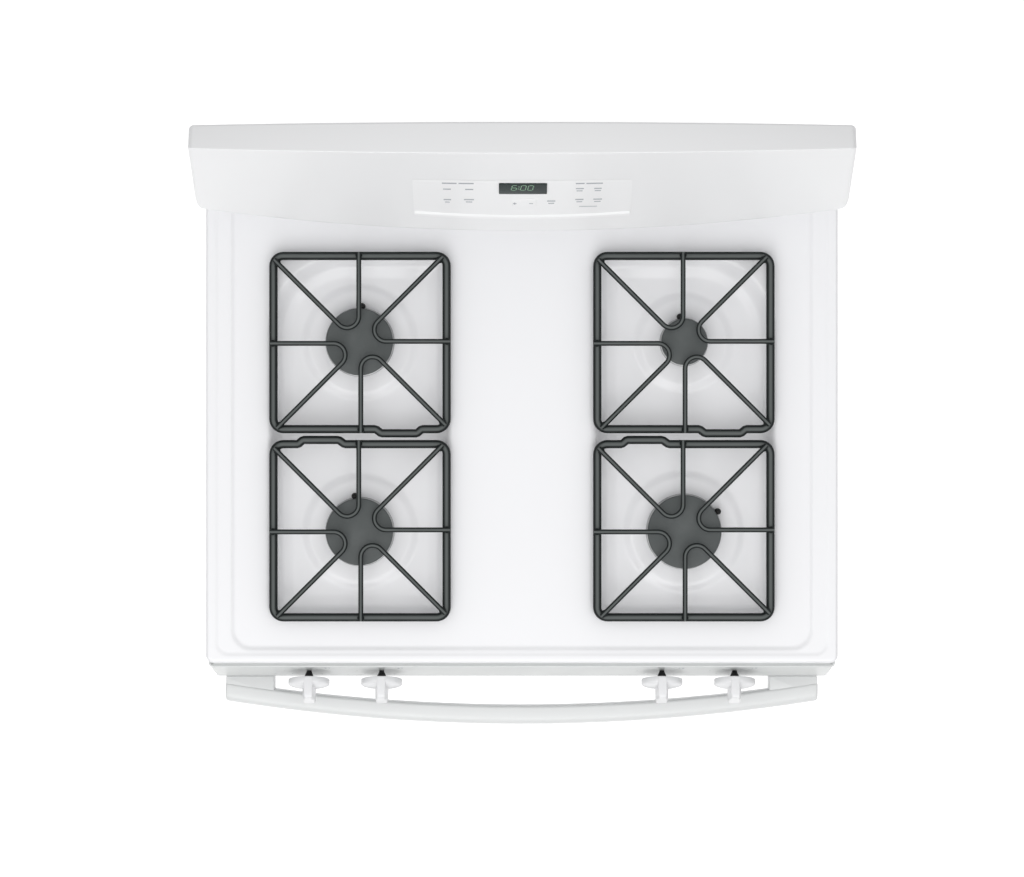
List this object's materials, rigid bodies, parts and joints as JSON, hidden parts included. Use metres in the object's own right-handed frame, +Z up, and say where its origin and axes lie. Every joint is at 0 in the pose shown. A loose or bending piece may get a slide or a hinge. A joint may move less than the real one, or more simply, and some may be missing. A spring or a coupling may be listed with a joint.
{
  "type": "freestanding gas range",
  "caption": "Freestanding white gas range: bowed arched backguard with clock and touch controls, recessed wells with sealed burners and square rod grates, front knobs, bowed handle, drawer.",
  "frame": {"origin": "floor level, below the middle of the whole range from side to side and from the handle to the back", "axes": "+X to the right seen from the front, -Y towards the front (door side), +Z up"},
  "size_m": [0.768, 0.712, 1.19],
  "materials": {
    "white_enamel": "gloss porcelain enamel",
    "white_paint": "satin baked paint",
    "white_plastic": "moulded, semi-gloss",
    "grate_enamel": "dark grey enamel on steel rod",
    "cap_enamel": "dark grey enamel",
    "black_plastic": "moulded",
    "igniter_ceramic": "black ceramic electrode",
    "oven_enamel": "speckled porcelain enamel",
    "dark_glass": "tinted",
    "clear_glass": "clear",
    "lamp_glass": "frosted dome",
    "display_glass": "dark display lens",
    "zinc_steel": "zinc-coated sheet",
    "black_steel": "black paint",
    "burner_steel": "aluminised tube",
    "rack_chrome": "bright wire",
    "cast_aluminium": "as cast",
    "gasket_fibre": "braided glass fibre",
    "wool": "glass-fibre blanket",
    "circuit_board": "coated laminate"
  },
  "bodies": {
    "cabinet": {"side_panel_left": "white_paint", "side_panel_right": "white_paint", "back_panel": "zinc_steel", "base_frame": "black_steel", "front_frame": "oven_enamel", "oven_liner": "oven_enamel", "insulation": "wool", "oven_floor": "oven_enamel", "bake_burner": "burner_steel", "broil_burner": "burner_steel", "oven_lamp": "lamp_glass", "door_gasket": "gasket_fibre", "hinge_arm_left": "zinc_steel", "hinge_arm_right": "zinc_steel", "cooktop": "white_enamel", "control_panel": "white_paint", "gas_manifold": "cast_aluminium", "gas_regulator": "cast_aluminium", "backguard": "white_paint", "backguard_cover": "zinc_steel", "control_overlay": "white_plastic", "display_lens": "display_glass", "control_board": "circuit_board", "leveling_leg_front_left": "black_plastic", "burner_base_front_left": "cast_aluminium", "igniter_front_left": "igniter_ceramic", "leveling_leg_front_right": "black_plastic", "burner_base_front_right": "cast_aluminium", "igniter_front_right": "igniter_ceramic", "leveling_leg_rear_left": "black_plastic", "burner_base_rear_left": "cast_aluminium", "igniter_rear_left": "igniter_ceramic", "leveling_leg_rear_right": "black_plastic", "burner_base_rear_right": "cast_aluminium", "igniter_rear_right": "igniter_ceramic"},
    "oven_door": {"door_panel": "white_paint", "door_window": "dark_glass", "door_liner": "oven_enamel", "door_inner_glass": "clear_glass", "door_handle": "white_plastic"},
    "drawer": {"drawer_front": "white_paint", "drawer_bin": "zinc_steel"},
    "rack_lower": {"oven_rack_lower": "rack_chrome"},
    "rack_upper": {"oven_rack_upper": "rack_chrome"},
    "stem_rear_left": {"valve_stem_rear_left": "black_plastic"},
    "knob_rear_left": {"knob_rear_left": "white_plastic"},
    "stem_front_left": {"valve_stem_front_left": "black_plastic"},
    "knob_front_left": {"knob_front_left": "white_plastic"},
    "stem_front_right": {"valve_stem_front_right": "black_plastic"},
    "knob_front_right": {"knob_front_right": "white_plastic"},
    "stem_rear_right": {"valve_stem_rear_right": "black_plastic"},
    "knob_rear_right": {"knob_rear_right": "white_plastic"},
    "cap_front_left": {"burner_cap_front_left": "cap_enamel"},
    "grate_front_left": {"grate_front_left": "grate_enamel"},
    "cap_front_right": {"burner_cap_front_right": "cap_enamel"},
    "grate_front_right": {"grate_front_right": "grate_enamel"},
    "cap_rear_left": {"burner_cap_rear_left": "cap_enamel"},
    "grate_rear_left": {"grate_rear_left": "grate_enamel"},
    "cap_rear_right": {"burner_cap_rear_right": "cap_enamel"},
    "grate_rear_right": {"grate_rear_right": "grate_enamel"}
  },
  "joints": [
    {"name": "door_hinge", "type": "hinge", "parent": "cabinet", "child": "oven_door", "pos_m": [0, -0.278, 0.29], "axis": [1, 0, 0], "range_deg": [0, 90]},
    {"name": "drawer_slide", "type": "slide", "parent": "cabinet", "child": "drawer", "axis": [0, -1, 0], "range_m": [0, 0.36]},
    {"name": "rack_lower_slide", "type": "slide", "parent": "cabinet", "child": "rack_lower", "axis": [0, -1, 0], "range_m": [0, 0.045]},
    {"name": "rack_upper_slide", "type": "slide", "parent": "cabinet", "child": "rack_upper", "axis": [0, -1, 0], "range_m": [0, 0.045]},
    {"name": "knob_push_rear_left", "type": "slide", "parent": "cabinet", "child": "stem_rear_left", "axis": [0, 0.9778, -0.2095], "range_m": [0, 0.003], "stiffness_N_per_m": 1500},
    {"name": "knob_turn_rear_left", "type": "hinge", "parent": "stem_rear_left", "child": "knob_rear_left", "pos_m": [-0.2587, -0.287, 0.848], "axis": [0, -0.9778, 0.2095], "range_deg": [0, 210]},
    {"name": "knob_push_front_left", "type": "slide", "parent": "cabinet", "child": "stem_front_left", "axis": [0, 0.9778, -0.2095], "range_m": [0, 0.003], "stiffness_N_per_m": 1500},
    {"name": "knob_turn_front_left", "type": "hinge", "parent": "stem_front_left", "child": "knob_front_left", "pos_m": [-0.1704, -0.287, 0.848], "axis": [0, -0.9778, 0.2095], "range_deg": [0, 210]},
    {"name": "knob_push_front_right", "type": "slide", "parent": "cabinet", "child": "stem_front_right", "axis": [0, 0.9778, -0.2095], "range_m": [0, 0.003], "stiffness_N_per_m": 1500},
    {"name": "knob_turn_front_right", "type": "hinge", "parent": "stem_front_right", "child": "knob_front_right", "pos_m": [0.1704, -0.287, 0.848], "axis": [0, -0.9778, 0.2095], "range_deg": [0, 210]},
    {"name": "knob_push_rear_right", "type": "slide", "parent": "cabinet", "child": "stem_rear_right", "axis": [0, 0.9778, -0.2095], "range_m": [0, 0.003], "stiffness_N_per_m": 1500},
    {"name": "knob_turn_rear_right", "type": "hinge", "parent": "stem_rear_right", "child": "knob_rear_right", "pos_m": [0.2587, -0.287, 0.848], "axis": [0, -0.9778, 0.2095], "range_deg": [0, 210]},
    {"name": "cap_lift_front_left", "type": "slide", "parent": "cabinet", "child": "cap_front_left", "axis": [0, 0, 1], "range_m": [0, 0.009]},
    {"name": "grate_lift_front_left", "type": "slide", "parent": "cabinet", "child": "grate_front_left", "axis": [0, 0, 1], "range_m": [0, 0.08]},
    {"name": "cap_lift_front_right", "type": "slide", "parent": "cabinet", "child": "cap_front_right", "axis": [0, 0, 1], "range_m": [0, 0.009]},
    {"name": "grate_lift_front_right", "type": "slide", "parent": "cabinet", "child": "grate_front_right", "axis": [0, 0, 1], "range_m": [0, 0.08]},
    {"name": "cap_lift_rear_left", "type": "slide", "parent": "cabinet", "child": "cap_rear_left", "axis": [0, 0, 1], "range_m": [0, 0.009]},
    {"name": "grate_lift_rear_left", "type": "slide", "parent": "cabinet", "child": "grate_rear_left", "axis": [0, 0, 1], "range_m": [0, 0.08]},
    {"name": "cap_lift_rear_right", "type": "slide", "parent": "cabinet", "child": "cap_rear_right", "axis": [0, 0, 1], "range_m": [0, 0.009]},
    {"name": "grate_lift_rear_right", "type": "slide", "parent": "cabinet", "child": "grate_rear_right", "axis": [0, 0, 1], "range_m": [0, 0.08]}
  ]
}
